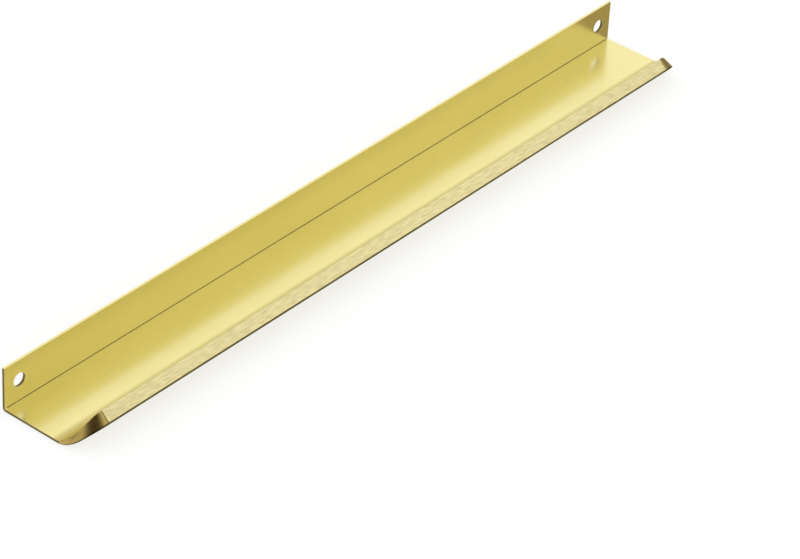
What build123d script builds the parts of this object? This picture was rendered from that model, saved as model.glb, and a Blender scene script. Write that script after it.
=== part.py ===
from build123d import *
import os
from math import cos, radians, sin, sqrt, tan

# Edge pull for a cabinet door or drawer front, pressed from one strip of metal.
# It lies on the outer face of its plate: X runs along the pull, the fixing
# flange stands at the back (+Y), and the finger lip turns up at the front (-Y).
# The edge of the lip is folded back as a narrow wall, which follows both front
# corners and runs out in the ends.
# The origin is the middle of the bounding box, at floor level.

# Driving dimensions, in millimetres and degrees
LENGTH = 400.0            # overall length of the pull
SHEET = 1.2               # thickness of the metal
PLATE_DEPTH = 46.6        # back of the flange to the outer corner line of the lip's fold
FLANGE_HEIGHT = 21.6      # outer face of the plate to the top edge of the flange
HEEL_RADIUS = 0.4         # inside radius of the bend between flange and plate
LIP_ANGLE = 44.0          # slope of the lip above the plate
LIP_RISE = 9.8            # outer face of the plate to the corner line of the fold
LIP_BEND_RADIUS = 15.0    # inside radius of the soft bend between plate and lip
WALL_WIDTH = 6.5          # outer width of the narrow wall that is folded back from the lip
WALL_LEAN = 47.5          # lean of that wall in over the plate, measured from upright
FOLD_RADIUS = 0.6         # outside radius of the fold between lip and wall
CORNER_RADIUS = 14.5      # front corners of the lip, seen from above
FADE_ANGLE = 95.0         # angle round a corner at which the wall's width would run out
FADE_POWER = 2.5          # how late in the corner the wall narrows
LEAN_POWER = 4.0          # how late in the corner the wall comes upright
HOLE_DIAMETER = 6.4       # screw holes in the flange
HOLE_INSET = 8.6          # end of the pull to the centre of its screw hole
HOLE_HEIGHT = 11.7        # outer face of the plate to the centres of the screw holes

# Sizes that follow from them
SLOPE = radians(LIP_ANGLE)
BEND = LIP_BEND_RADIUS + SHEET                      # outside radius of the soft bend
KNEE = PLATE_DEPTH - LIP_RISE / tan(SLOPE)          # corner line between plate and lip
BEND_START = KNEE - BEND * tan(SLOPE / 2)
BEND_END = BEND_START + BEND * sin(SLOPE)


def bent_sheet(corners: list[tuple[float, float]], outside_radii: list[float]) -> Face:
    """Section of the sheet in the YZ plane, from the corner points of its outer face."""
    outer_line = FilletPolyline(*corners, radius=outside_radii)
    section = offset(outer_line, amount=SHEET, side=Side.RIGHT, kind=Kind.INTERSECTION)
    return Plane.YZ * make_face(section)


def outer_height(depth: float) -> float:
    """Height of the lip's outer face at a depth in front of the flange's back."""
    if depth <= BEND_START:
        return 0.0
    if depth <= BEND_END:
        return BEND - sqrt(BEND**2 - (depth - BEND_START) ** 2)
    return (depth - KNEE) * tan(SLOPE)


def wall_frame(angle: float) -> tuple[Vector, Vector, Vector, Vector]:
    """Foot, outward direction, rising direction and normal of the wall in the left corner."""
    turn = radians(angle)
    lean = radians(WALL_LEAN * (1 - (angle / 90) ** LEAN_POWER))
    out = Vector(-sin(turn), -cos(turn), 0)
    foot = Vector(CORNER_RADIUS - LENGTH / 2, CORNER_RADIUS - PLATE_DEPTH, 0) + out * CORNER_RADIUS
    foot += Vector(0, 0, outer_height(-foot.Y))
    rise = Vector(0, 0, cos(lean)) - out * sin(lean)
    normal = out * cos(lean) + Vector(0, 0, sin(lean))
    return foot, out, rise, normal


def round_the_corner(outline) -> Part:
    """Smooth body round the left corner, through the outlines at seven angles."""
    angles = [15.0 * step for step in range(7)]
    return loft([make_face(Polyline(*outline(angle), close=True)) for angle in angles])


def left_corner(flat_end: Part) -> Part:
    """Left end of the pull: the lip is trimmed round the corner and carries the fading wall."""
    tall = 2 * WALL_WIDTH

    def thick_wall(angle: float) -> list[Vector]:
        foot, out, rise, normal = wall_frame(angle)
        inner = foot - normal * SHEET
        low = foot + rise * (0.5 * SHEET)
        top = inner + rise * tall
        away = out * CORNER_RADIUS
        return [inner + rise * (0.65 * SHEET), low, low + away, top + away, top]

    def above_free_edge(angle: float) -> list[Vector]:
        foot, out, rise, normal = wall_frame(angle)
        width = WALL_WIDTH * (1 - (angle / FADE_ANGLE) ** FADE_POWER)
        edge = foot + rise * width
        side = normal * (2 * SHEET)
        up = rise * (2 * tall)
        return [edge - side, edge + side, edge + side + up, edge - side + up]

    def outside(angle: float) -> list[Vector]:
        foot, out, rise, normal = wall_frame(angle)
        low = foot - rise * (2 * SHEET)
        top = foot + rise * (2 * tall)
        away = out * (2 * CORNER_RADIUS)
        return [low, low + away, top + 2 * away, top]

    wall = round_the_corner(thick_wall) - round_the_corner(above_free_edge)
    return (flat_end + wall) - round_the_corner(outside)


def edge_pull() -> Part:
    """The whole pull as one solid, still with the flange's back at y = 0."""
    lean = radians(WALL_LEAN)
    flange_top = (0.0, FLANGE_HEIGHT)
    heel = (0.0, 0.0)
    knee = (-KNEE, 0.0)
    fold = (-PLATE_DEPTH, LIP_RISE)
    free_edge = (fold[0] + WALL_WIDTH * sin(lean), fold[1] + WALL_WIDTH * cos(lean))
    past_fold = (fold[0] - 4 * SHEET * cos(SLOPE), fold[1] + 4 * SHEET * sin(SLOPE))

    # The section with the wall runs between the corners, and each end is trimmed round.
    section = bent_sheet(
        [flange_top, heel, knee, fold, free_edge], [HEEL_RADIUS + SHEET, BEND, FOLD_RADIUS]
    )
    middle = extrude(section, LENGTH / 2 - CORNER_RADIUS, both=True)
    flat_section = bent_sheet([flange_top, heel, knee, past_fold], [HEEL_RADIUS + SHEET, BEND])
    flat_end = extrude(flat_section, CORNER_RADIUS / 2, both=True)
    left = left_corner(Pos(X=(CORNER_RADIUS - LENGTH) / 2) * flat_end)
    pull = middle + left + mirror(left, about=Plane.YZ)

    # One screw hole near each end of the flange.
    for side in (-1, 1):
        centre = Pos(side * (LENGTH / 2 - HOLE_INSET), -SHEET / 2, HOLE_HEIGHT)
        pull -= centre * Rot(X=90) * Cylinder(HOLE_DIAMETER / 2, 2 * SHEET)
    return pull


pull = edge_pull()
pull = Pos(Y=-pull.bounding_box().center().Y) * pull

os.makedirs("parts", exist_ok=True)
export_step(pull.solid(), "parts/edge_pull.step")
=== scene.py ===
"""Dressed model of a long cabinet edge pull in brushed brass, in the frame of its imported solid."""

import logging
from dataclasses import dataclass, field
from enum import Enum
from math import cos, pi, radians, sin, tan

import bmesh
import bpy
import numpy as np
from mathutils import Matrix, Vector


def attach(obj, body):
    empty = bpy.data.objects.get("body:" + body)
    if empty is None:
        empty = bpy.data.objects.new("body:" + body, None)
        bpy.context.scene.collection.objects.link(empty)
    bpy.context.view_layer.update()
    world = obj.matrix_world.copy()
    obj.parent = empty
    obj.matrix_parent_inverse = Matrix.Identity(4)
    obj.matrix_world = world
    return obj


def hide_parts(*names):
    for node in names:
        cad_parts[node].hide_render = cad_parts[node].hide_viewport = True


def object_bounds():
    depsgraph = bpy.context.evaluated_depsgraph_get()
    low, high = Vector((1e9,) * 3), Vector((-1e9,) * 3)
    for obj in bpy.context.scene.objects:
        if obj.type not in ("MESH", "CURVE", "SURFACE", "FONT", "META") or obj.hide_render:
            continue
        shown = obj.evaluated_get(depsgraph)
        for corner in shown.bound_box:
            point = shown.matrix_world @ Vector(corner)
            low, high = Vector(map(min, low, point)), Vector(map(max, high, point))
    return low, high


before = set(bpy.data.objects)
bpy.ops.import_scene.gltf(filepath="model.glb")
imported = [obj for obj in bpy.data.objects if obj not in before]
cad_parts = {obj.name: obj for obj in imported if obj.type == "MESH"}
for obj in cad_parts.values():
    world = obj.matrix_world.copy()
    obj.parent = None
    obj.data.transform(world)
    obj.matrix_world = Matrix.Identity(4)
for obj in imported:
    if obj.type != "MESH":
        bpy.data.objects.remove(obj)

logging.basicConfig(level=logging.INFO, format="%(message)s")
LOG = logging.getLogger("edge_pull")

BODY = "root"
NODE = "edge_pull"
MM = 0.001
CAD_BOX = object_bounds()

Colour = tuple[float, float, float]
Triple = tuple[float, float, float]

# Range in which most values of a noise lie.
NOISE_MIDDLE = (0.3, 0.7)

# Numbers of a Mix node's first input, second input and output, by the kind of its data.
MIX_SOCKETS = {"FLOAT": (2, 3, 0), "RGBA": (6, 7, 2)}


class Face(Enum):
    """The surfaces of the sheet that differ in finish, in the order of their material slots. The
    corner, the cut edges, the fold and the crease are dark with painted shade.
    """

    OUTSIDE = 0
    INSIDE = 1
    CORNER = 2
    CUT_EDGE = 3
    FOLD = 4
    CREASE = 5


def unit(vectors: np.ndarray) -> np.ndarray:
    """Scale vectors to length one.

    Args:
        vectors: Array whose last axis holds the components.

    Returns:
        Array of the same shape, each vector divided by its own length.
    """
    return vectors / np.linalg.norm(vectors, axis=-1, keepdims=True)


@dataclass
class MeshParts:
    """Vertices and faces of a mesh under construction, with a finish for each face."""

    points: list[np.ndarray] = field(default_factory=list)
    faces: list[list[int]] = field(default_factory=list)
    finishes: list[int] = field(default_factory=list)
    count: int = 0

    def add_points(self, points: np.ndarray) -> np.ndarray:
        """Append points.

        Args:
            points: Array of any shape whose last axis is x, y, z.

        Returns:
            Indices of the new vertices, in the shape of the array without its last axis.
        """
        flat = points.reshape(-1, 3)
        index = np.arange(self.count, self.count + len(flat)).reshape(points.shape[:-1])
        self.points.append(flat)
        self.count += len(flat)
        return index

    def add_grid(
        self, index: np.ndarray, finish: Face | np.ndarray, skip: np.ndarray | None = None
    ) -> None:
        """Join a grid of vertices with four-sided faces.

        Args:
            index: Two-dimensional array of vertex indices.
            finish: One finish, or an array with a finish number for each face of the grid.
            skip: True for each face that is left open.
        """
        corners = (index[:-1, :-1], index[1:, :-1], index[1:, 1:], index[:-1, 1:])
        quads = np.stack(corners, axis=-1)
        value = finish.value if isinstance(finish, Face) else finish
        numbers = np.broadcast_to(value, quads.shape[:2])
        keep = np.ones(quads.shape[:2], bool) if skip is None else ~skip
        self.faces += quads[keep].tolist()
        self.finishes += numbers[keep].tolist()

    def add_polygon(self, index: np.ndarray, finish: Face) -> None:
        """Close a flat outline with one face.

        Args:
            index: Vertex indices in order round the outline.
            finish: Finish of the face.
        """
        self.faces.append(index.tolist())
        self.finishes.append(finish.value)

    def to_object(self, name: str, merge: float) -> bpy.types.Object:
        """Make a closed object with outward faces.

        Args:
            name: Name of the object and its mesh.
            merge: Distance in metres within which vertices become one.

        Returns:
            The object, linked to the scene, with its place in its mesh.
        """
        mesh = bpy.data.meshes.new(name)
        mesh.from_pydata(np.concatenate(self.points).tolist(), [], self.faces)
        mesh.polygons.foreach_set("material_index", np.array(self.finishes, np.int32))
        shape = bmesh.new()
        shape.from_mesh(mesh)
        bmesh.ops.remove_doubles(shape, verts=shape.verts[:], dist=merge)
        bmesh.ops.recalc_face_normals(shape, faces=shape.faces[:])
        shape.to_mesh(mesh)
        shape.free()
        mesh.polygons.foreach_set("use_smooth", np.ones(len(mesh.polygons), bool))
        mesh.update()
        piece = bpy.data.objects.new(name, mesh)
        bpy.context.scene.collection.objects.link(piece)
        return piece


@dataclass(frozen=True)
class Pattern:
    """A noise: its features per metre along the axes, its finer layers and its turn in degrees."""

    scale: Triple
    detail: float
    turn: float = 0.0


@dataclass
class Board:
    """The node board of one material, with short ways to add and join nodes."""

    tree: bpy.types.NodeTree

    @classmethod
    def for_material(cls, name: str) -> tuple["Board", bpy.types.Material, bpy.types.Node]:
        """Start a material.

        Args:
            name: Name of the material.

        Returns:
            The board, the material and its shader node.
        """
        material = bpy.data.materials.new(name)
        material.use_nodes = True
        shader = material.node_tree.nodes["Principled BSDF"]
        return cls(material.node_tree), material, shader

    def node(self, kind: str, **inputs: object) -> bpy.types.Node:
        """Add a node.

        Args:
            kind: Blender's name of the node type.
            inputs: Values or output sockets for its inputs, with _ for a space.

        Returns:
            The new node.
        """
        made = self.tree.nodes.new(kind)
        for key, value in inputs.items():
            self.feed(made, key.replace("_", " "), value)
        return made

    def feed(self, node: bpy.types.Node, socket: str, value: object) -> None:
        """Set an input to a value, or join it to an output.

        Args:
            node: The node.
            socket: Name of the input.
            value: Number, colour or output socket.
        """
        if isinstance(value, bpy.types.NodeSocket):
            self.tree.links.new(value, node.inputs[socket])
        else:
            node.inputs[socket].default_value = value

    def noise(self, pattern: Pattern) -> bpy.types.NodeSocket:
        """Noise on object coordinates.

        The coordinates are turned about the upright axis and then stretched along the
        axes, so that the features are one over the scale metres long, wide and high.

        Args:
            pattern: Size, detail and turn of the noise.

        Returns:
            Values round one half.
        """
        source = self.node("ShaderNodeTexCoord").outputs["Object"]
        turn = (0.0, 0.0, radians(pattern.turn))
        turned = self.node("ShaderNodeMapping", Vector=source, Rotation=turn).outputs["Vector"]
        place = self.node("ShaderNodeMapping", Vector=turned, Scale=pattern.scale).outputs["Vector"]
        made = self.node("ShaderNodeTexNoise", Vector=place, Scale=1.0, Detail=pattern.detail)
        return made.outputs["Fac"]

    def paint_shade_in_front(
        self, colour: bpy.types.NodeSocket, shade_factors: tuple[tuple[float, Colour], ...]
    ) -> bpy.types.NodeSocket:
        """Paint shade onto a colour: multiply it by factors that follow each other from back to
        front.

        Args:
            colour: The colour.
            shade_factors: Y in metres and factors of the painted shade, from back to front.

        Returns:
            The colour with its painted shade.
        """
        back, front = shade_factors[0][0], shade_factors[-1][0]
        source = self.node("ShaderNodeTexCoord").outputs["Object"]
        y = self.node("ShaderNodeSeparateXYZ", Vector=source).outputs["Y"]
        way = self.node("ShaderNodeMapRange", Value=y, From_Min=back, From_Max=front)
        stops = [((place - back) / (front - back), painted_shade) for place, painted_shade in shade_factors]
        painted_shade = self.ramp(way.outputs["Result"], stops)
        return self.mix("RGBA", colour, painted_shade, share=1.0, blend="MULTIPLY")

    def mix(
        self,
        kind: str,
        first: bpy.types.NodeSocket,
        second: bpy.types.NodeSocket,
        share: float,
        blend: str = "MIX",
    ) -> bpy.types.NodeSocket:
        """Blend two values or two colours.

        Args:
            kind: FLOAT for values, RGBA for colours.
            first: Output that the blend starts from.
            second: Output that is blended in.
            share: Share of the second.
            blend: Blender's name of the way to blend colours.

        Returns:
            The blended value or colour.
        """
        start, other, result = MIX_SOCKETS[kind]
        made = self.tree.nodes.new("ShaderNodeMix")
        made.data_type = kind
        made.blend_type = blend
        made.inputs["Factor"].default_value = share
        self.tree.links.new(first, made.inputs[start])
        self.tree.links.new(second, made.inputs[other])
        return made.outputs[result]

    def calculate(self, operation: str, first: object, second: object) -> bpy.types.NodeSocket:
        """Combine two numbers.

        Args:
            operation: Blender's name of the operation.
            first: Output or number.
            second: Output or number.

        Returns:
            The result.
        """
        made = self.tree.nodes.new("ShaderNodeMath")
        made.operation = operation
        for socket, value in zip(made.inputs, (first, second)):
            if isinstance(value, bpy.types.NodeSocket):
                self.tree.links.new(value, socket)
            else:
                socket.default_value = value
        return made.outputs[0]

    def ramp(
        self, value: bpy.types.NodeSocket, stops: list[tuple[float, Colour]]
    ) -> bpy.types.NodeSocket:
        """Colours by value.

        Args:
            value: Value that picks the colour.
            stops: Positions and colours.

        Returns:
            The colour.
        """
        made = self.node("ShaderNodeValToRGB", Fac=value)
        while len(made.color_ramp.elements) < len(stops):
            made.color_ramp.elements.new(0.5)
        for element, (position, colour) in zip(made.color_ramp.elements, stops):
            element.position = position
            element.color = (*colour, 1.0)
        return made.outputs["Color"]

    def span(self, value: bpy.types.NodeSocket, low: float, high: float) -> bpy.types.NodeSocket:
        """Spread the middle of a noise over a range of values.

        Args:
            value: Noise round one half.
            low: Result at the lower end of the noise's middle and below it.
            high: Result at the upper end of the noise's middle and above it.

        Returns:
            The value in its range.
        """
        middle = {"From_Min": NOISE_MIDDLE[0], "From_Max": NOISE_MIDDLE[1]}
        made = self.node("ShaderNodeMapRange", Value=value, To_Min=low, To_Max=high, **middle)
        return made.outputs["Result"]


@dataclass(frozen=True)
class BrushedBrass:
    """Brass with fine lines brushed along the pull."""

    name: str = "brushed_brass"
    dark: Colour = (0.63, 0.555, 0.27)
    light: Colour = (0.81, 0.725, 0.375)
    lines_per_metre: float = 4400.0
    line_length: float = 0.007
    line_angle: float = 4.0
    line_detail: float = 1.0
    broad_lines: float = 0.5
    broad_share: float = 0.5
    cloud: Pattern = Pattern((9.0, 16.0, 16.0), 2.0)
    cloud_share: float = 0.05
    tone_range: tuple[float, float] = (0.38, 0.60)
    roughness: tuple[float, float] = (0.26, 0.42)
    relief: float = 0.5
    depth: float = 0.00003

    def material(self) -> bpy.types.Material:
        """Make the material: long thin noise in its colour, gloss and relief.

        Returns:
            The material.
        """
        board, material, shader = Board.for_material(self.name)
        along = 1 / self.line_length
        across = self.lines_per_metre
        broad = across * self.broad_lines
        hair = board.noise(Pattern((along, across, across), self.line_detail, self.line_angle))
        streak = board.noise(Pattern((along, broad, broad), self.line_detail, self.line_angle))
        lines = board.mix("FLOAT", hair, streak, self.broad_share)
        tone = board.mix("FLOAT", lines, board.noise(self.cloud), self.cloud_share)
        low, high = self.tone_range
        board.feed(shader, "Base Color", board.ramp(tone, [(low, self.dark), (high, self.light)]))
        board.feed(shader, "Roughness", board.span(lines, self.roughness[1], self.roughness[0]))
        relief = board.node("ShaderNodeBump", Height=lines, Strength=self.relief, Distance=self.depth)
        board.feed(shader, "Normal", relief.outputs["Normal"])
        shader.inputs["Metallic"].default_value = 1.0
        return material


@dataclass(frozen=True)
class SatinBrass:
    """Smooth lacquered brass with a soft sheen, faintly uneven from rolling. Its dark copies and the
    darkening over the bend are painted shade.
    """

    name: str
    dark: Colour
    light: Colour
    roughness: tuple[float, float]
    lacquer: float = 0.0
    lacquer_roughness: float = 0.16
    lacquer_index: float = 1.6
    bend_painted_shade: tuple[tuple[float, Colour], ...] = ()
    cloud: Pattern = Pattern((14.0, 40.0, 40.0), 3.0)
    rolling: Pattern = Pattern((60.0, 500.0, 500.0), 2.0)
    grain: Pattern = Pattern((2600.0, 2600.0, 2600.0), 2.0)
    grain_in_colour: float = 0.3
    grain_in_gloss: float = 0.5
    tone_range: tuple[float, float] = (0.32, 0.66)
    relief: float = 0.3
    depth: float = 0.000012

    def material(self) -> bpy.types.Material:
        """Make the material: slow clouds in its colour, painted shade over the bend when given, fine
        grains in its gloss and relief.

        Returns:
            The material.
        """
        board, material, shader = Board.for_material(self.name)
        grain = board.noise(self.grain)
        tone = board.mix("FLOAT", board.noise(self.cloud), grain, self.grain_in_colour)
        low, high = self.tone_range
        colour = board.ramp(tone, [(low, self.dark), (high, self.light)])
        # Painted shade over the bend into the lip.
        if self.bend_painted_shade:
            colour = board.paint_shade_in_front(colour, self.bend_painted_shade)
        board.feed(shader, "Base Color", colour)
        shader.inputs["Coat Weight"].default_value = self.lacquer
        shader.inputs["Coat Roughness"].default_value = self.lacquer_roughness
        shader.inputs["Coat IOR"].default_value = self.lacquer_index
        worn = board.mix("FLOAT", board.noise(self.rolling), grain, self.grain_in_gloss)
        board.feed(shader, "Roughness", board.span(worn, *self.roughness))
        relief = board.node("ShaderNodeBump", Height=grain, Strength=self.relief, Distance=self.depth)
        board.feed(shader, "Normal", relief.outputs["Normal"])
        shader.inputs["Metallic"].default_value = 1.0
        return material


@dataclass
class EdgePull:
    """The pull: one sheet of metal with a screw flange, a flat plate and a finger lip.

    Sizes are in millimetres and degrees, measured as on the solid: depths count forwards
    from the back of the flange, heights upwards from the outer face of the plate, and
    insets inwards from the end of the pull. Steps count faces of the grid, and the rows
    and columns are those that stay open for a screw hole.
    """

    length: float = 400.0
    sheet: float = 1.2
    plate_depth: float = 46.6
    flange_height: float = 21.6
    heel_radius: float = 0.4
    heel_support: float = 0.1
    lip_angle: float = 44.0
    lip_rise: float = 9.8
    lip_bend_radius: float = 15.0
    wall_width: float = 6.5
    wall_lean: float = 47.5
    fold_softness: float = 0.56
    foot_share: float = 0.05
    corner_radius: float = 14.5
    fade_angle: float = 95.0
    fade_power: float = 2.5
    lean_power: float = 4.0
    run_out_height: float = 0.75
    hole_diameter: float = 6.4
    hole_inset: float = 8.6
    hole_height: float = 11.7
    hole_margin: float = 4.6
    end_softness: float = 0.22
    edge_softness: float = 0.13
    sharp_angle: float = 38.0
    merge_distance: float = 0.0012
    search_span: tuple[float, float] = (-1.0, 8.0)
    halvings: int = 40
    corner_steps: int = 44
    straight_steps: int = 60
    heel_steps: int = 6
    plate_steps: int = 13
    bend_steps: int = 3
    lip_steps: int = 16
    fold_steps: int = 6
    face_steps: int = 6
    edge_steps: int = 2
    back_steps: int = 4
    hole_rows: tuple[int, int] = (19, 41)
    hole_columns: tuple[int, int] = (3, 19)
    slope: float = field(init=False)
    bend: float = field(init=False)
    knee: float = field(init=False)
    bend_start: float = field(init=False)
    corner_depth: float = field(init=False)
    foot_end: int = field(init=False)
    face_end: int = field(init=False)
    edge_end: int = field(init=False)

    def __post_init__(self) -> None:
        """Work out the lines where plate, bend and lip meet, and the columns of the rim."""
        self.slope = radians(self.lip_angle)
        self.bend = self.lip_bend_radius + self.sheet
        self.knee = self.plate_depth - self.lip_rise / tan(self.slope)
        self.bend_start = self.knee - self.bend * tan(self.slope / 2)
        self.corner_depth = self.plate_depth - self.corner_radius
        self.foot_end = self.fold_steps + 1
        self.face_end = self.fold_steps + self.face_steps
        self.edge_end = self.face_end + self.edge_steps

    def skin(self, depth: np.ndarray, lift: float) -> tuple[np.ndarray, np.ndarray]:
        """Height of the plate and lip at a depth, on a skin parallel to the outer face.

        The skin is flat up to the bend, then follows the circle about the bend's centre
        with the radius less the lift, and then rises straight at the slope of the lip.

        Args:
            depth: Depths in front of the flange's back.
            lift: Distance of the skin inwards from the outer face.

        Returns:
            Heights, and the tilt of the skin in radians.
        """
        radius = self.bend - lift
        reach = radius * sin(self.slope)
        along = np.clip(depth - self.bend_start, 0.0, reach)
        arc = self.bend - np.sqrt(radius**2 - along**2)
        ramp = (depth - self.knee) * tan(self.slope) + lift / cos(self.slope)
        straight = depth > self.bend_start + reach
        return np.where(straight, ramp, arc), np.arcsin(along / radius)

    def rear_section(self, lift: float) -> np.ndarray:
        """Section from the flange's top edge, round the heel, to where the corners start.

        The flange's points run straight down, the heel is a quarter circle about the
        centre that both faces share, and the plate's points follow the skin.

        Args:
            lift: Distance of the skin inwards from the outer face.

        Returns:
            Array of (depth, height), one row a point.
        """
        centre = self.heel_radius + self.sheet
        top = self.flange_height
        first, last = self.hole_columns
        upper = self.hole_height + self.hole_margin
        lower = self.hole_height - self.hole_margin
        above = np.linspace(top, upper, first + 1)[:-1]
        hole = np.linspace(upper, lower, last - first + 1)
        below = [*np.linspace(lower, centre, first + 1)[1:-1], centre + self.heel_support]
        level = np.concatenate([above, hole, below])
        flange = np.stack([np.full(len(level), lift), level], axis=1)
        angle = np.linspace(0, pi / 2, self.heel_steps + 1)
        radius = centre - lift
        heel = np.stack([centre - radius * np.cos(angle), centre - radius * np.sin(angle)], axis=1)
        flat = np.linspace(centre, self.bend_start, self.plate_steps + 1)
        flat[0] += self.heel_support
        bent = np.linspace(self.bend_start, self.corner_depth, self.bend_steps + 1)[1:]
        depth = np.concatenate([flat, bent])
        plate = np.stack([depth, self.skin(depth, lift)[0]], axis=1)
        return np.concatenate([flange, heel, plate])

    def wall_frame(self, angle: np.ndarray) -> dict[str, np.ndarray]:
        """Place and direction of the folded wall round the left corner.

        The foot runs on a circle as seen from above and climbs with the lip. The wall
        leans inwards, and its lean falls with a power of the angle. Vectors are
        (inset, depth, height), so outwards is (-sin, cos, 0) of the angle. The rounded
        fold is soft at the front and narrows with the square of the angle.

        Args:
            angle: Angles round the corner in degrees, 0 at the front and 90 at the end.

        Returns:
            Arrays foot, rise, normal, width, start and soft, one entry an angle.
        """
        turn = np.radians(angle)
        lean = np.radians(self.wall_lean * (1 - (angle / 90) ** self.lean_power))[:, None]
        zero = np.zeros_like(turn)
        out = np.stack([-np.sin(turn), np.cos(turn), zero], axis=-1)
        up = np.stack([zero, zero, zero + 1], axis=-1)
        foot = np.array([self.corner_radius, self.corner_depth, 0]) + out * self.corner_radius
        foot[:, 2], tilt = self.skin(foot[:, 1], 0.0)
        blend = (angle / 90) ** 2
        soft = self.fold_softness * (1 - blend) + self.end_softness * blend
        start = foot - out * (soft * np.cos(tilt))[:, None]
        start[:, 2] = self.skin(start[:, 1], 0.0)[0]
        rise = up * np.cos(lean) - out * np.sin(lean)
        normal = out * np.cos(lean) + up * np.sin(lean)
        width = self.wall_width * (1 - (angle / self.fade_angle) ** self.fade_power)
        return {
            "foot": foot,
            "rise": rise,
            "normal": normal,
            "width": width,
            "start": start,
            "soft": soft,
        }

    def leave_sheet(self, start: np.ndarray, rise: np.ndarray) -> np.ndarray:
        """Distance at which lines along the wall come out of the inner face.

        Each distance lies in the search span, which is halved towards it again and again.

        Args:
            start: Start points of the lines, in the sheet or below it.
            rise: Directions of the lines.

        Returns:
            One distance a line.
        """
        low = np.full(len(start), self.search_span[0])
        high = np.full(len(start), self.search_span[1])
        for _ in range(self.halvings):
            middle = (low + high) / 2
            point = start + rise * middle[:, None]
            below = point[:, 2] < self.skin(point[:, 1], self.sheet)[0]
            low = np.where(below, middle, low)
            high = np.where(below, high, middle)
        return (low + high) / 2

    def corner_angles(self) -> np.ndarray:
        """Angles of the stations round a corner.

        Returns:
            Angles in degrees, from the end of the pull to its front.
        """
        return np.linspace(90.0, 0.0, self.corner_steps + 1)

    def inner_foot(self, wall: dict[str, np.ndarray]) -> np.ndarray:
        """Line on which the wall's inner face meets the inner face of the lip.

        Args:
            wall: Place and direction of the wall, from wall_frame.

        Returns:
            Array of (inset, depth, height), one row an angle.
        """
        start = wall["foot"] - wall["normal"] * self.sheet
        return start + wall["rise"] * self.leave_sheet(start, wall["rise"])[:, None]

    def half_skin(self, inner: bool) -> np.ndarray:
        """Left corner's share of a skin, from the end of the pull to the end of the corner.

        Each row is a section across the pull. Behind the corner it is the rear section, and
        in the corner its points are spread evenly in depth up to the wall's foot.

        Args:
            inner: True for the inner skin, which ends at the wall's inner foot.

        Returns:
            Grid of (inset, depth, height).
        """
        wall = self.wall_frame(self.corner_angles())
        edge = self.inner_foot(wall) if inner else wall["start"]
        lift = self.sheet if inner else 0.0
        rear = self.rear_section(lift)
        share = np.linspace(0, 1, self.lip_steps + 1)[1:]
        depth = rear[-1, 0] + share * (edge[:, 1:2] - rear[-1, 0])
        height = self.skin(depth, lift)[0]
        rows = len(edge)
        depth = np.concatenate([np.tile(rear[:, 0], (rows, 1)), depth], axis=1)
        height = np.concatenate([np.tile(rear[:, 1], (rows, 1)), height], axis=1)
        inset = np.repeat(edge[:, :1], depth.shape[1], axis=1)
        return np.stack([inset, depth, height], axis=-1)

    def end_frame(self) -> dict[str, np.ndarray]:
        """The same entries as wall_frame for the square-cut end of flange and plate.

        The rise runs across the sheet's thickness, and the normal along the pull. The start
        lies as far in as the corner's last station, so that the outer skin meets it.

        Returns:
            Arrays foot, rise, normal, width, start and soft, one entry a point.
        """
        outer = self.rear_section(0.0)[:-1]
        inner = self.rear_section(self.sheet)[:-1]
        count = len(outer)
        zero = np.zeros(count)
        foot = np.stack([zero, outer[:, 0], outer[:, 1]], axis=1)
        across = np.stack([zero, inner[:, 0] - outer[:, 0], inner[:, 1] - outer[:, 1]], axis=1)
        out = np.tile([-1.0, 0.0, 0.0], (count, 1))
        inset = self.wall_frame(self.corner_angles())["start"][0, 0]
        return {
            "foot": foot,
            "rise": unit(across),
            "normal": out,
            "width": np.linalg.norm(across, axis=1),
            "start": foot - out * inset,
            "soft": zero + self.end_softness,
        }

    def half_rim(self) -> tuple[np.ndarray, np.ndarray]:
        """Left end's share of the rim, carried along the cut end and round the corner.

        Across the rim, the fold is a parabola from the outer skin to the wall with the
        foot as its control point. Then the wall's outer face runs straight up, the free
        edge lies square across it, and the inner face runs straight down to its foot.
        Where the wall stands lower than the run-out height, its free edge slopes down to
        that foot instead.

        Returns:
            Grid of (inset, depth, height), and a finish number for each face of the grid.
        """
        end = self.end_frame()
        wall = self.wall_frame(self.corner_angles())
        level = self.leave_sheet(wall["foot"], wall["rise"])
        proud = wall["width"] - level >= self.run_out_height
        wall["width"] = np.maximum(wall["width"], level)
        rim = {key: np.concatenate([end[key], wall[key]]) for key in end}
        start, foot, rise = rim["start"], rim["foot"], rim["rise"]
        finish = foot + rise * rim["soft"][:, None]
        top = foot + rise * rim["width"][:, None]
        inner_top = top - rim["normal"] * self.sheet
        inner_end = inner_top[: len(end["foot"])]
        inner_foot = np.concatenate([inner_end, self.inner_foot(wall)])
        blunt = np.concatenate([np.ones(len(inner_end), bool), proud])
        inner_top = np.where(blunt[:, None], inner_top, inner_foot)
        folds = np.linspace(0, 1, self.fold_steps + 1)
        faces = np.linspace(self.foot_share, 1, self.face_steps)
        edges = np.linspace(0, 1, self.edge_steps + 1)[1:]
        backs = np.linspace(0, 1, self.back_steps + 1)[1:]
        bend = [start * (1 - t) ** 2 + foot * 2 * t * (1 - t) + finish * t**2 for t in folds]
        face = [finish * (1 - t) + top * t for t in faces]
        edge = [top * (1 - t) + inner_top * t for t in edges]
        back = [inner_top * (1 - t) + inner_foot * t for t in backs]
        grid = np.stack([*bend, *face, *edge, *back], axis=1)
        finishes = np.full((grid.shape[0] - 1, grid.shape[1] - 1), Face.INSIDE.value)
        ends = len(end["foot"])
        foot_end, face_end, edge_end = self.foot_end, self.face_end, self.edge_end
        # Painted shade: the cut ends and the free edge of a standing wall are nearly black.
        rim_edge = np.where(proud[1:, None], Face.CUT_EDGE.value, Face.INSIDE.value)
        finishes[:ends, :face_end] = Face.CUT_EDGE.value
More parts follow.
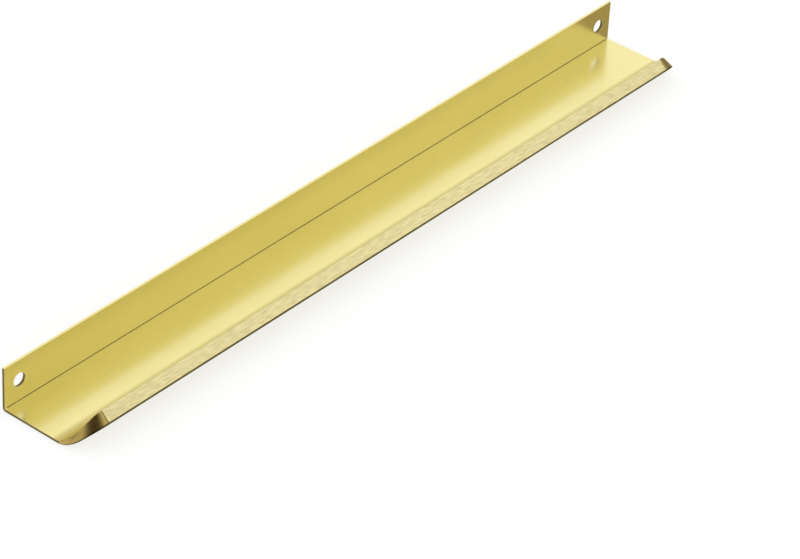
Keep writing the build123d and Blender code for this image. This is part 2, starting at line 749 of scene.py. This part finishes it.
        # Painted shade: the fold's rounding and the foot of the wall are a dark line.
        finishes[ends:, :foot_end] = Face.FOLD.value
        # Painted shade: the wall's face round the corner and its back are darker brass.
        finishes[ends:, foot_end:face_end] = Face.CORNER.value
        finishes[ends:, face_end:edge_end] = rim_edge
        finishes[ends:, edge_end:] = Face.CORNER.value
        return grid, finishes

    def whole(self, half: np.ndarray) -> np.ndarray:
        """Join a left share, the straight middle and the mirrored right share.

        Args:
            half: Grid of (inset, depth, height), whose last row starts the straight middle.

        Returns:
            Grid of (x, y, z) in metres over the whole length.
        """
        middle = self.length / 2
        left = half.copy()
        left[..., 0] = half[..., 0] - middle
        right = half[::-1].copy()
        right[..., 0] = middle - right[..., 0]
        share = np.linspace(0, 1, self.straight_steps + 1)[1:-1, None, None]
        straight = left[-1] * (1 - share) + right[0] * share
        points = np.concatenate([left, straight, right]) * MM
        points[..., 1] = CAD_BOX[1].y - points[..., 1]
        return points

    def heel_columns(self) -> slice:
        """Find the faces in the middle of the sharp bend between flange and plate, which carry a line
        of painted shade.

        Returns:
            Slice over the columns of faces of a skin, without the bend's first and last.
        """
        first, last = self.hole_columns
        heel = last + first + 1
        return slice(heel + 1, heel + self.heel_steps - 1)

    def hole_block(self, rows: int, left: bool) -> tuple[slice, slice]:
        """Faces of a skin that make room for a screw hole.

        Args:
            rows: Number of rows of faces.
            left: True for the hole near the left end.

        Returns:
            Slices over rows and columns of faces.
        """
        first, last = self.hole_rows
        if not left:
            first, last = rows - last, rows - first
        return slice(first, last), slice(*self.hole_columns)

    def outline_of(self, index: np.ndarray, block: tuple[slice, slice]) -> np.ndarray:
        """Vertex indices in order round a block of faces.

        Args:
            index: Grid of vertex indices.
            block: Slices over rows and columns of faces.

        Returns:
            Indices, the first one again at the end.
        """
        part = index[block[0].start : block[0].stop + 1, block[1].start : block[1].stop + 1]
        return np.concatenate([part[:, 0], part[-1, 1:], part[-2::-1, -1], part[0, -2::-1]])

    def bore(self, parts: MeshParts, skins: list[tuple[np.ndarray, np.ndarray]], left: bool) -> None:
        """Cut one screw hole: ring each skin's opening to a circle and join the two circles.

        The circle's points lie at the angles at which the outer opening's points are seen
        from the hole's centre.

        Args:
            parts: Mesh under construction.
            skins: Indices and points of the outer and the inner skin.
            left: True for the hole near the left end.
        """
        block = self.hole_block(skins[0][0].shape[0] - 1, left)
        side = -1 if left else 1
        centre = np.array([side * (self.length / 2 - self.hole_inset), self.hole_height]) * MM
        radius = self.hole_diameter / 2 * MM
        circles = []
        angle = np.zeros(0)
        for index, points in skins:
            outline = self.outline_of(index, block)
            around = self.outline_of(np.arange(index.size).reshape(index.shape), block)
            corners = points.reshape(-1, 3)[around]
            if not circles:
                angle = np.arctan2(corners[:, 2] - centre[1], corners[:, 0] - centre[0])
            circle = corners.copy()
            circle[:, 0] = centre[0] + radius * np.cos(angle)
            circle[:, 2] = centre[1] + radius * np.sin(angle)
            made = parts.add_points(circle)
            parts.add_grid(np.stack([outline, made]), Face.INSIDE if circles else Face.OUTSIDE)
            circles.append(made)
        # The hole's wall is dark with painted shade.
        parts.add_grid(np.stack(circles), Face.CUT_EDGE)

    def build(self) -> bpy.types.Object:
        """Make the pull from its two skins, its rim, the flange's top and the two bores.

        Returns:
            The piece, at the origin, with its place in its mesh.
        """
        parts = MeshParts()
        skins = []
        for inner in (False, True):
            points = self.whole(self.half_skin(inner))
            skip = np.zeros((points.shape[0] - 1, points.shape[1] - 1), bool)
            kept = np.ones(points.shape[:2], bool)
            for left in (True, False):
                rows, columns = self.hole_block(len(skip), left)
                skip[rows, columns] = True
                kept[rows.start + 1 : rows.stop, columns.start + 1 : columns.stop] = False
            index = np.full(kept.shape, -1)
            index[kept] = parts.add_points(points[kept])
            finish = np.full(skip.shape, Face.INSIDE.value if inner else Face.OUTSIDE.value)
            if inner:
                # The crease between flange and plate gets a painted dark line.
                finish[:, self.heel_columns()] = Face.CREASE.value
            parts.add_grid(index, finish, skip)
            skins.append((index, points))
        for left in (True, False):
            self.bore(parts, skins, left)

        half, finishes = self.half_rim()
        rim = parts.add_points(self.whole(half))
        # Along the straight middle the fold stays a painted dark line and the free edge a painted
        # dark edge.
        straight = np.tile(finishes[-1], (self.straight_steps, 1))
        straight[:, self.foot_end : self.face_end] = Face.OUTSIDE.value
        straight[:, self.edge_end :] = Face.INSIDE.value
        # A thin line of painted shade stands on the wall where each corner ends.
        finishes[-1, self.fold_steps : self.face_end] = Face.FOLD.value
        parts.add_grid(rim, np.concatenate([finishes, straight, finishes[::-1]]))

        top = np.stack([skins[0][0][:, 0], skins[1][0][:, 0]])
        parts.add_grid(top, Face.INSIDE)
        for station in (0, -1):
            parts.add_polygon(rim[station, : self.edge_end + 1], Face.INSIDE)
        return parts.to_object("pull", self.merge_distance * MM)

    def soften(self, piece: bpy.types.Object) -> None:
        """Round the sharp edges of the sheet.

        Args:
            piece: The pull.
        """
        bevel = piece.modifiers.new("edges", "BEVEL")
        bevel.limit_method = "ANGLE"
        bevel.angle_limit = radians(self.sharp_angle)
        bevel.width = self.edge_softness * MM
        bevel.segments = 2
        bevel.use_clamp_overlap = False
        bevel.harden_normals = True

    def dress(self, piece: bpy.types.Object) -> None:
        """Give each region of the sheet its finish, the dark ones and the darkening over the bend
        being painted shade.

        Args:
            piece: The pull.
        """
        finishes = {
            Face.OUTSIDE: BrushedBrass(),
            Face.INSIDE: SatinBrass(
                "satin_brass",
                dark=(0.745, 0.66, 0.235),
                light=(0.79, 0.70, 0.275),
                roughness=(0.21, 0.28),
                lacquer=1.0,
                # Painted shade darkens the inner face over the bend into the lip and on the lip.
                bend_painted_shade=(
                    (-0.0044, (1.0, 1.0, 1.0)),
                    (-0.0071, (0.66, 0.58, 0.28)),
                    (-0.0135, (0.86, 0.82, 0.66)),
                ),
            ),
            # Painted shade: the wall round each corner is a darker brown brass.
            Face.CORNER: SatinBrass(
                "corner_painted_shade",
                dark=(0.46, 0.33, 0.09),
                light=(0.54, 0.40, 0.13),
                roughness=(0.30, 0.38),
            ),
            # Painted shade: cut ends, free edges and hole walls are nearly black brass.
            Face.CUT_EDGE: SatinBrass(
                "cut_edge_painted_shade",
                dark=(0.12, 0.08, 0.022),
                light=(0.20, 0.145, 0.045),
                roughness=(0.3, 0.45),
            ),
            # Painted shade: the dark line along the fold.
            Face.FOLD: SatinBrass(
                "fold_painted_shade",
                dark=(0.09, 0.07, 0.02),
                light=(0.15, 0.12, 0.035),
                roughness=(0.3, 0.4),
            ),
            # Painted shade: the dark line in the crease between flange and plate.
            Face.CREASE: SatinBrass(
                "crease_painted_shade",
                dark=(0.17, 0.12, 0.025),
                light=(0.26, 0.19, 0.05),
                roughness=(0.3, 0.4),
            ),
        }
        for face in Face:
            piece.data.materials.append(finishes[face].material())

    def make(self) -> list[bpy.types.Object]:
        """Build, soften and dress the pull and put it in place of its solid.

        Returns:
            The finished pieces.
        """
        piece = self.build()
        self.soften(piece)
        self.dress(piece)
        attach(piece, BODY)
        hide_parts(NODE)
        return [piece]


@dataclass(frozen=True)
class Card:
    """A flat dark card that only reflections show, given by its middle and two half edges."""

    name: str
    centre: Triple
    across: Triple
    along: Triple
    colour: Colour

    def make(self) -> None:
        """Make the card and hide it from the camera, from diffuse light and from shadows."""
        centre, across, along = Vector(self.centre), Vector(self.across), Vector(self.along)
        signs = ((-1, -1), (1, -1), (1, 1), (-1, 1))
        corners = [tuple(centre + across * a + along * b) for a, b in signs]
        mesh = bpy.data.meshes.new(self.name)
        mesh.from_pydata(corners, [], [(0, 1, 2, 3)])
        card = bpy.data.objects.new(self.name, mesh)
        bpy.context.scene.collection.objects.link(card)
        _, material, shader = Board.for_material(self.name)
        shader.inputs["Base Color"].default_value = (*self.colour, 1.0)
        shader.inputs["Roughness"].default_value = 1.0
        shader.inputs["Specular IOR Level"].default_value = 0.0
        mesh.materials.append(material)
        card.visible_camera = False
        card.visible_diffuse = False
        card.visible_shadow = False


@dataclass
class Studio:
    """A white room with a pale floor, one wide soft lamp and dark cards for the reflections.

    The front card lies in a direction and at a distance from the near front corner. The
    places of the two other cards are measured from the middle of the far end, on the floor.
    """

    world_level: float = 1.0
    floor_half: float = 30.0
    floor_colour: float = 0.8
    seen_colour: float = 0.3
    lamp_direction: Triple = (0.74, 0.1, 0.67)
    lamp_distance: float = 3.2
    lamp_width: float = 5.0
    lamp_radiance: float = 0.18
    front_direction: Triple = (-0.52, -0.28, 0.80)
    front_distance: float = 0.10
    front_half: tuple[float, float] = (0.082, 0.063)
    front_colour: Colour = (0.05, 0.025, 0.01)
    end_place: Triple = (0.3, -0.10, 0.075)
    end_half: tuple[float, float] = (0.2, 0.075)
    end_colour: Colour = (0.10, 0.075, 0.035)
    low_place: Triple = (0.031, -0.01, 0.0004)
    low_half: tuple[float, float] = (0.03, 0.07)
    low_colour: Colour = (0.42, 0.34, 0.18)

    def make_world(self) -> None:
        """Plain white surroundings."""
        world = bpy.data.worlds.new("white_room")
        world.use_nodes = True
        back = world.node_tree.nodes["Background"]
        back.inputs["Color"].default_value = (1.0, 1.0, 1.0, 1.0)
        back.inputs["Strength"].default_value = self.world_level
        bpy.context.scene.world = world

    def make_lamp(self) -> None:
        """Wide soft lamp over the white room, whose power is pi times its area times its radiance."""
        data = bpy.data.lights.new("soft_lamp", "AREA")
        data.shape = "SQUARE"
        data.size = self.lamp_width
        data.energy = pi * self.lamp_width**2 * self.lamp_radiance
        lamp = bpy.data.objects.new("soft_lamp", data)
        aim = Vector(self.lamp_direction).normalized()
        turn = aim.to_track_quat("Z", "Y").to_matrix().to_4x4()
        lamp.matrix_world = Matrix.Translation(aim * self.lamp_distance) @ turn
        bpy.context.scene.collection.objects.link(lamp)

    def make_floor(self) -> None:
        """Pale matt floor that shows as white and keeps a light shadow of the pull.

        What the camera and the reflections see is part of the floor's own colour and part
        a glow, which together make white. What lights the pull is the colour alone.
        """
        half = self.floor_half
        mesh = bpy.data.meshes.new("floor")
        corners = [(-half, -half, 0.0), (half, -half, 0.0), (half, half, 0.0), (-half, half, 0.0)]
        mesh.from_pydata(corners, [], [(0, 1, 2, 3)])
        floor = bpy.data.objects.new("floor", mesh)
        bpy.context.scene.collection.objects.link(floor)
        board, material, shader = Board.for_material("pale_floor")
        shader.inputs["Roughness"].default_value = 1.0
        shader.inputs["Specular IOR Level"].default_value = 0.0
        shader.inputs["Emission Color"].default_value = (1.0, 1.0, 1.0, 1.0)
        path = board.node("ShaderNodeLightPath")
        seen = path.outputs["Is Camera Ray"]
        for kind in ("Is Glossy Ray", "Is Transmission Ray"):
            seen = board.calculate("MAXIMUM", seen, path.outputs[kind])
        fall = board.calculate("MULTIPLY", seen, self.floor_colour - self.seen_colour)
        board.feed(shader, "Base Color", board.calculate("SUBTRACT", self.floor_colour, fall))
        glow = board.calculate("MULTIPLY", seen, 1.0 - self.seen_colour)
        board.feed(shader, "Emission Strength", glow)
        mesh.materials.append(material)

    def cards(self) -> list[Card]:
        """Lay out the dark cards.

        One faces the near front corner from above, one stands beyond the far end, and one
        lies just over the floor beside that end.

        Returns:
            The cards.
        """
        aim = Vector(self.front_direction).normalized()
        near = Vector((CAD_BOX[0].x, CAD_BOX[0].y, 0.0))
        across = aim.cross(Vector((0.0, 0.0, 1.0))).normalized()
        along = across.cross(aim)
        front = Card(
            "front_card",
            centre=tuple(near + aim * self.front_distance),
            across=tuple(across * self.front_half[0]),
            along=tuple(along * self.front_half[1]),
            colour=self.front_colour,
        )
        far = CAD_BOX[1].x
        end = Card(
            "end_card",
            centre=(far + self.end_place[0], *self.end_place[1:]),
            across=(0.0, self.end_half[0], 0.0),
            along=(0.0, 0.0, self.end_half[1]),
            colour=self.end_colour,
        )
        low = Card(
            "low_card",
            centre=(far + self.low_place[0], *self.low_place[1:]),
            across=(self.low_half[0], 0.0, 0.0),
            along=(0.0, self.low_half[1], 0.0),
            colour=self.low_colour,
        )
        return [front, end, low]

    def make(self) -> None:
        """Set up the surroundings."""
        self.make_world()
        self.make_lamp()
        self.make_floor()
        for card in self.cards():
            card.make()


@dataclass
class PhotoCamera:
    """The camera, placed by the point that it looks at, its direction, its roll and its lens.

    The target, the distance, the lens and the sensor's width are in millimetres, the
    direction and the roll in degrees, and the nearest and farthest distance seen in metres.
    """

    target: Triple = (-18.4057, -34.6363, 1.2)
    distance: float = 1643.652
    azimuth: float = -51.5415
    elevation: float = 35.4003
    roll: float = 3.3045
    lens: float = 172.347
    sensor: float = 36.0
    clip: tuple[float, float] = (0.01, 200.0)

    def make(self) -> None:
        """Make the camera and let the scene look through it."""
        turn, lift, tilt = radians(self.azimuth), radians(self.elevation), radians(self.roll)
        forward = Vector((-sin(turn) * cos(lift), cos(turn) * cos(lift), -sin(lift)))
        level = forward.cross(Vector((0.0, 0.0, 1.0))).normalized()
        upright = level.cross(forward)
        right = level * cos(tilt) + upright * sin(tilt)
        up = upright * cos(tilt) - level * sin(tilt)
        place = (Vector(self.target) - forward * self.distance) * MM
        data = bpy.data.cameras.new("camera")
        data.lens = self.lens
        data.sensor_width = self.sensor
        data.sensor_fit = "HORIZONTAL"
        data.clip_start, data.clip_end = self.clip
        camera = bpy.data.objects.new("camera", data)
        turned = Matrix((right, up, -forward)).transposed().to_4x4()
        camera.matrix_world = Matrix.Translation(place) @ turned
        bpy.context.scene.collection.objects.link(camera)
        bpy.context.scene.camera = camera


def main() -> None:
    """Build the pull, the camera and the studio, in that order."""
    bpy.context.scene.view_settings.view_transform = "Standard"
    for piece in EdgePull().make():
        LOG.info("%s: %d faces", piece.name, len(piece.data.polygons))
    PhotoCamera().make()
    Studio().make()


if __name__ == "__main__":
    main()
